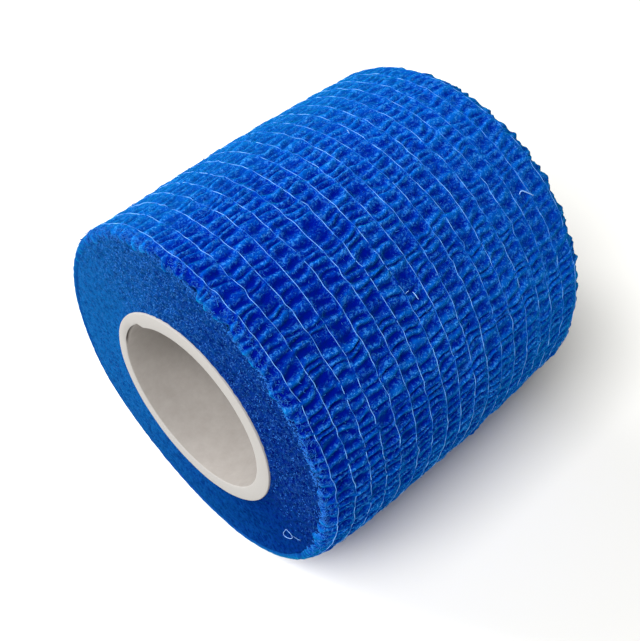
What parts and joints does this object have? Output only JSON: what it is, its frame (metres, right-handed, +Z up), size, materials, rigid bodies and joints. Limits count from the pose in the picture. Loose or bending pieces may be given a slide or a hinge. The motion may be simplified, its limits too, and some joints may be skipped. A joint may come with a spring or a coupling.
{
  "type": "cohesive bandage roll",
  "caption": "Crinkled self-clinging elastic bandage wound on a round paper core, lying on its curved side, ready to unwind as a compression wrap.",
  "frame": {"origin": "bottom centre of the object's box, on the small flat spot that the roll rests on", "axes": "+X along the roll's axis, with the end that the picture shows facing -X; +Z up from the surface that the roll lies on; the cut tail of the cloth lies low on the +Y side"},
  "size_m": [0.0508, 0.053, 0.0541],
  "materials": {
    "crinkled_cloth": "matte",
    "core_paper": "matte"
  },
  "bodies": {
    "root": {"bandage_roll": "crinkled_cloth", "core_tube": "core_paper"}
  },
  "joints": []
}
